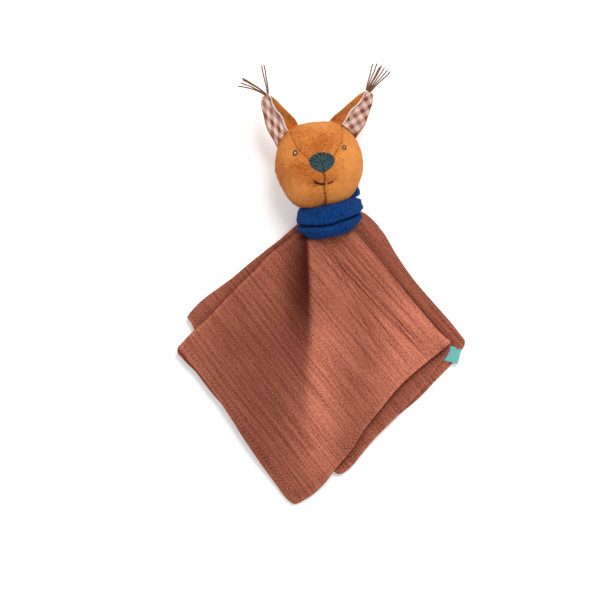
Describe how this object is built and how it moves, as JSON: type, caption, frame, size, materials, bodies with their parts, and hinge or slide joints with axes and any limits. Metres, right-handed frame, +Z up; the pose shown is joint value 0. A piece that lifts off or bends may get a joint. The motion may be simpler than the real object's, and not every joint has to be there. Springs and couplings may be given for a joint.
{
  "type": "comfort blanket",
  "caption": "Soft animal head with tufted ears and a neck scarf, sewn to the middle of a folded square muslin blanket.",
  "frame": {"origin": "on the flat underside of the lowest cloth layer, below the neck, on the surface that the lovey lies on", "axes": "+Z up, away from the surface; +Y from the blanket's front corner to the head; +X to the right of the face as seen from above"},
  "size_m": [0.2143, 0.3252, 0.0603],
  "materials": {
    "gauze": "crinkled double gauze",
    "velour": "short fuzzy pile",
    "scarf": "soft fleece",
    "nose_thread": "satin stitched thread",
    "brown_thread": "twisted thread",
    "lining": "checked cotton",
    "tag": "woven ribbon",
    "filling": "loose fibre fill"
  },
  "bodies": {
    "blanket": {"blanket_front_panel": "gauze", "blanket_rear_folds": "gauze", "neck_gather": "gauze"},
    "front_corner": {"blanket_front_corner": "gauze"},
    "tag": {"woven_tag": "tag"},
    "neck": {"neck_scarf": "scarf", "gathering_thread": "brown_thread"},
    "head": {"head_gusset": "velour", "left_cheek_panel": "velour", "right_cheek_panel": "velour", "head_filling": "filling", "nose_embroidery": "nose_thread", "left_eye_embroidery": "brown_thread", "right_eye_embroidery": "brown_thread", "left_mouth_stitch": "brown_thread", "right_mouth_stitch": "brown_thread"},
    "left_ear": {"left_ear_back": "velour", "left_ear_lining": "lining", "left_tuft_thread_1": "brown_thread", "left_tuft_thread_2": "brown_thread", "left_tuft_thread_3": "brown_thread", "left_tuft_thread_4": "brown_thread", "left_tuft_thread_5": "brown_thread", "left_tuft_thread_6": "brown_thread"},
    "right_ear": {"right_ear_back": "velour", "right_ear_lining": "lining", "right_tuft_thread_1": "brown_thread", "right_tuft_thread_2": "brown_thread", "right_tuft_thread_3": "brown_thread", "right_tuft_thread_4": "brown_thread", "right_tuft_thread_5": "brown_thread", "right_tuft_thread_6": "brown_thread", "right_tuft_thread_7": "brown_thread"}
  },
  "joints": [
    {"name": "neck_nod", "type": "hinge", "parent": "blanket", "child": "neck", "pos_m": [0.0035, 0.044, 0.0245], "axis": [1, 0, 0], "range_deg": [0, 80], "deforming": ["neck_gather"]},
    {"name": "head_turn", "type": "hinge", "parent": "neck", "child": "head", "pos_m": [-0.0025, 0.09, 0.0283], "axis": [-0.1149, 0.9934, 0], "range_deg": [-40, 40], "stiffness_Nm_per_rad": 0.04},
    {"name": "left_ear_flex", "type": "hinge", "parent": "head", "child": "left_ear", "pos_m": [-0.02745, 0.11268, 0.02764], "axis": [0.6725, 0.7382, -0.0527], "range_deg": [-30, 30], "stiffness_Nm_per_rad": 0.01},
    {"name": "right_ear_flex", "type": "hinge", "parent": "head", "child": "right_ear", "pos_m": [0.01631, 0.11774, 0.02457], "axis": [0.8233, -0.5652, -0.0526], "range_deg": [-30, 30], "stiffness_Nm_per_rad": 0.01},
    {"name": "front_corner_lift", "type": "hinge", "parent": "blanket", "child": "front_corner", "pos_m": [0, -0.07, 0.0082], "axis": [-1, 0, 0], "range_deg": [0, 120]},
    {"name": "tag_flex", "type": "hinge", "parent": "blanket", "child": "tag", "pos_m": [0.08975, -0.05485, 0.00355], "axis": [-0.5741, -0.8188, 0], "range_deg": [0, 105]}
  ]
}
